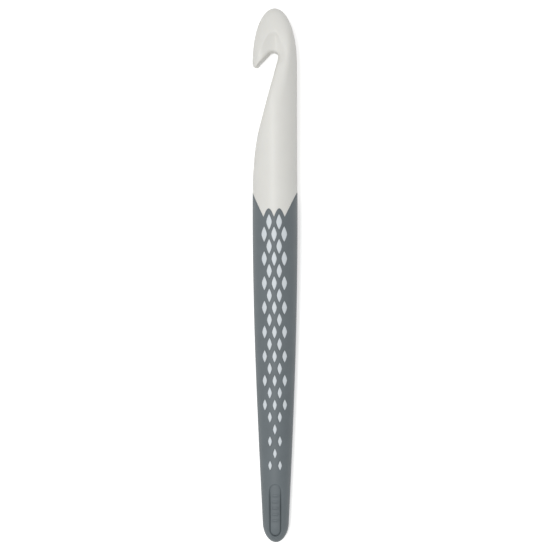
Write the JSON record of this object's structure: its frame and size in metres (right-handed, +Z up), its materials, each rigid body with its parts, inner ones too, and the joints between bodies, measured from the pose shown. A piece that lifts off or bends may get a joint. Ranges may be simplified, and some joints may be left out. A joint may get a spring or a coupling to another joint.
{
  "type": "crochet hook",
  "caption": "Crochet hook with a hard polymer head and shank, and a tapered soft grip with pointed windows moulded over its tail.",
  "frame": {"origin": "centre of the bounding box in plan, on the surface that the hook lies on", "axes": "+Z up off the table, +Y from the butt to the tip in plan, and the mouth opens towards -X; the hook's own axis rises towards the tip by 1.89 degrees because the handle tapers and lies on its straight underside"},
  "size_m": [0.015, 0.18, 0.016],
  "materials": {
    "hard_polymer": "fine satin, light grey moulded polymer",
    "soft_grip": "matt soft-touch elastomer, dark blue-grey"
  },
  "bodies": {
    "root": {"hook_core": "hard_polymer", "grip_sleeve": "soft_grip"}
  },
  "joints": []
}
